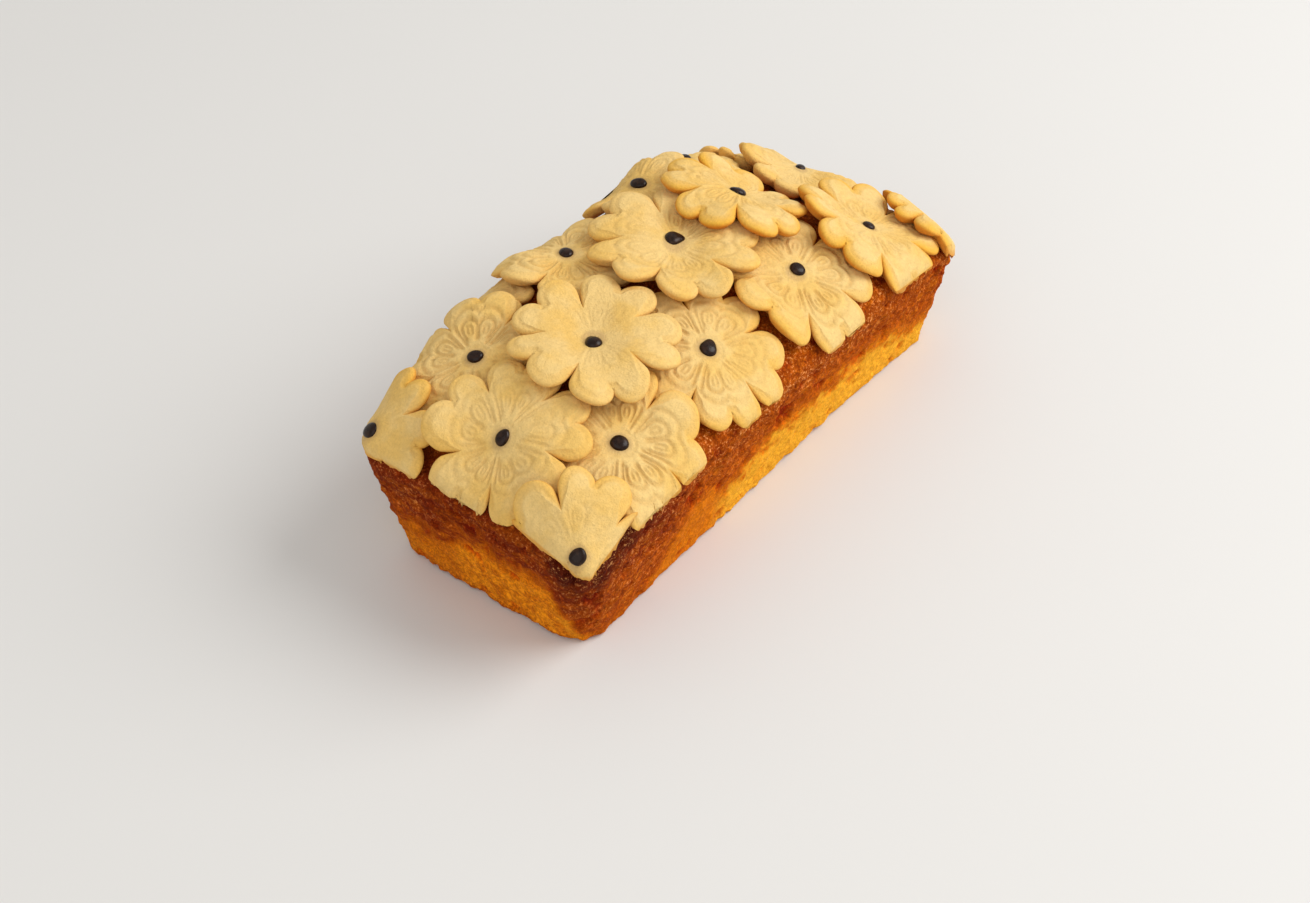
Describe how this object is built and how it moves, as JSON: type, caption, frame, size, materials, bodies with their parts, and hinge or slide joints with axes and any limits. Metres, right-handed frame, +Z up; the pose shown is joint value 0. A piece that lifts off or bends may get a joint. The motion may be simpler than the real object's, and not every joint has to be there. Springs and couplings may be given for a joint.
{
  "type": "flower cookie loaf cake",
  "caption": "Uncut loaf cake with a domed top covered in overlapping five-petalled flower cookies, each with a drop of chocolate in its middle.",
  "frame": {"origin": "centre of the cake's footprint on the table, at the bottom of the loaf", "axes": "+X along the loaf towards the end that is far from the camera in the picture, +Y towards its left long side as seen from the near end, +Z up"},
  "size_m": [0.1997, 0.093, 0.0779],
  "materials": {
    "sponge": "baked crumb, yellow low down and dark brown at the crust",
    "biscuit": "pale sandy biscuit with golden rims",
    "chocolate": "soft gloss"
  },
  "bodies": {
    "root": {"chocolate_02": "chocolate", "chocolate_03": "chocolate", "chocolate_04": "chocolate", "chocolate_05": "chocolate", "chocolate_06": "chocolate", "chocolate_07": "chocolate", "chocolate_08": "chocolate", "chocolate_09": "chocolate", "chocolate_10": "chocolate", "chocolate_11": "chocolate", "chocolate_12": "chocolate", "chocolate_13": "chocolate", "chocolate_14": "chocolate", "chocolate_17": "chocolate", "chocolate_18": "chocolate", "cookie_01": "biscuit", "cookie_02": "biscuit", "cookie_03": "biscuit", "cookie_04": "biscuit", "cookie_05": "biscuit", "cookie_06": "biscuit", "cookie_07": "biscuit", "cookie_08": "biscuit", "cookie_09": "biscuit", "cookie_10": "biscuit", "cookie_11": "biscuit", "cookie_12": "biscuit", "cookie_13": "biscuit", "cookie_14": "biscuit", "cookie_15": "biscuit", "cookie_16": "biscuit", "cookie_17": "biscuit", "cookie_18": "biscuit", "cookie_19": "biscuit", "loaf": "sponge"}
  },
  "joints": []
}
